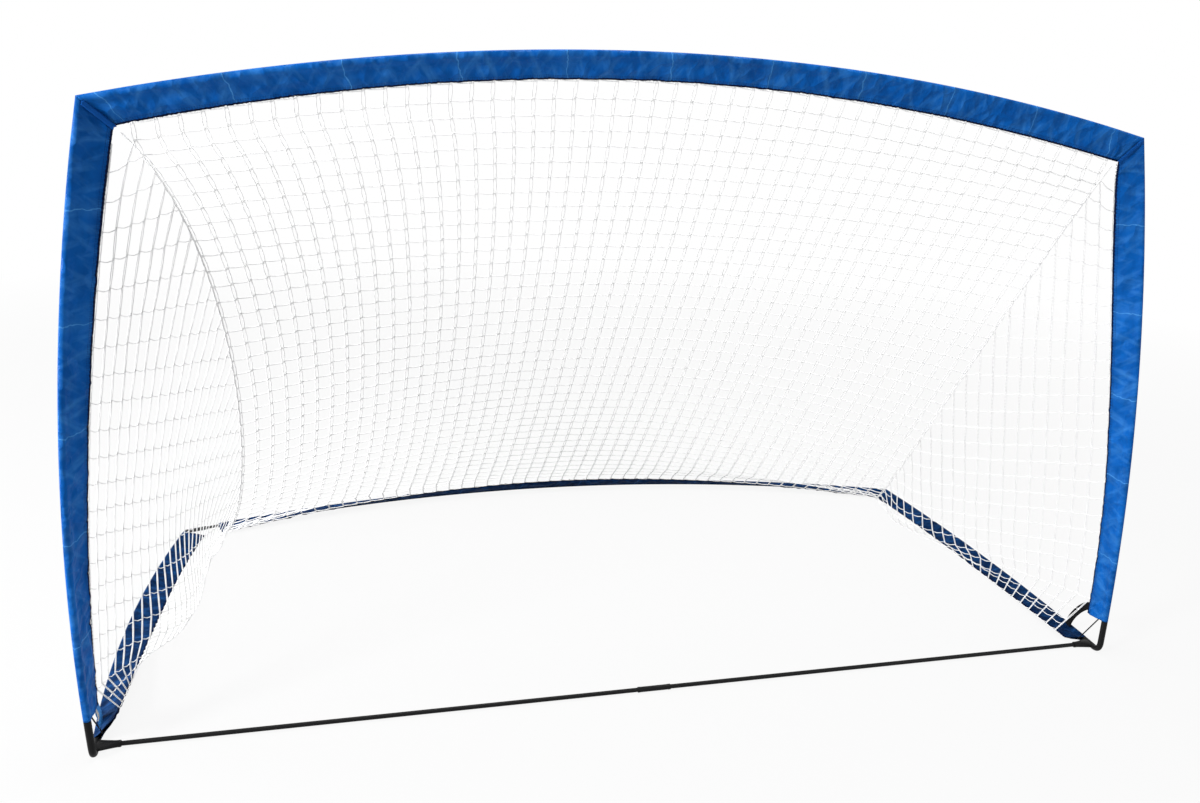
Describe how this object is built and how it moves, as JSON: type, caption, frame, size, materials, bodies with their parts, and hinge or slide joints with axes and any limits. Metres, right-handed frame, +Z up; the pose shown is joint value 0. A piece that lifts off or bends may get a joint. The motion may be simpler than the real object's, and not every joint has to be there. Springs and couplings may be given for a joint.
{
  "type": "portable soccer goal",
  "caption": "Portable soccer goal: bent sectional poles in fabric sleeves, steel corner tubes, a sectional ground bar, and a sloping net with side panels.",
  "frame": {"origin": "on the ground under the middle of the goal's overall box", "axes": "+X along the crossbar to the right as a kicker sees it, +Y from the mouth to the rear, +Z up"},
  "size_m": [2.4795, 1.3342, 1.4234],
  "materials": {
    "pole": "pultruded fibreglass, satin black",
    "ferrule": "drawn tube, satin",
    "elbow": "moulded, satin black",
    "corner_tube": "black powder coat",
    "ground_bar": "satin black",
    "arch_sleeve": "glossy woven polyester, royal blue",
    "ground_sleeve": "woven polyester, navy blue",
    "binding": "folded binding tape, blue",
    "webbing": "woven webbing, black",
    "elastic": "braided elastic cord, black",
    "tab": "blank folded tape, white",
    "net": "knotless polyester twine, white"
  },
  "bodies": {
    "frame": {"left_post_pole_section_1": "pole", "left_post_pole_section_2": "pole", "left_post_pole_ferrule": "ferrule", "right_post_pole_section_1": "pole", "right_post_pole_section_2": "pole", "right_post_pole_ferrule": "ferrule", "crossbar_pole_section_1": "pole", "crossbar_pole_section_2": "pole", "crossbar_pole_section_3": "pole", "crossbar_pole_section_4": "pole", "crossbar_pole_ferrule_1": "ferrule", "crossbar_pole_ferrule_2": "ferrule", "crossbar_pole_ferrule_3": "ferrule", "left_side_pole_section_1": "pole", "left_side_pole_section_2": "pole", "left_side_pole_ferrule": "ferrule", "right_side_pole_section_1": "pole", "right_side_pole_section_2": "pole", "right_side_pole_ferrule": "ferrule", "rear_pole_section_1": "pole", "rear_pole_section_2": "pole", "rear_pole_section_3": "pole", "rear_pole_section_4": "pole", "rear_pole_ferrule_1": "ferrule", "rear_pole_ferrule_2": "ferrule", "rear_pole_ferrule_3": "ferrule", "left_top_elbow": "elbow", "right_top_elbow": "elbow", "left_rear_elbow": "elbow", "right_rear_elbow": "elbow", "left_corner_tube": "corner_tube", "right_corner_tube": "corner_tube", "left_bar_socket": "corner_tube", "right_bar_socket": "corner_tube", "left_post_sleeve": "arch_sleeve", "right_post_sleeve": "arch_sleeve", "crossbar_sleeve": "arch_sleeve", "left_ground_sleeve": "ground_sleeve", "right_ground_sleeve": "ground_sleeve", "rear_ground_sleeve": "ground_sleeve", "left_corner_binding": "binding", "right_corner_binding": "binding", "left_corner_strap": "webbing", "right_corner_strap": "webbing", "left_corner_elastic": "elastic", "right_corner_elastic": "elastic", "left_sleeve_tab": "tab", "back_net": "net", "left_side_net": "net", "right_side_net": "net", "left_net_seam_cord": "net", "right_net_seam_cord": "net"},
    "bar_left": {"front_bar_left_half": "ground_bar", "front_bar_ferrule": "ground_bar"},
    "bar_right": {"front_bar_right_half": "ground_bar"}
  },
  "joints": [
    {"name": "bar_left_slide", "type": "slide", "parent": "frame", "child": "bar_left", "axis": [-1, 0, 0], "range_m": [0, 0.015]},
    {"name": "bar_right_slide", "type": "slide", "parent": "frame", "child": "bar_right", "axis": [1, 0, 0], "range_m": [0, 0.015]}
  ]
}
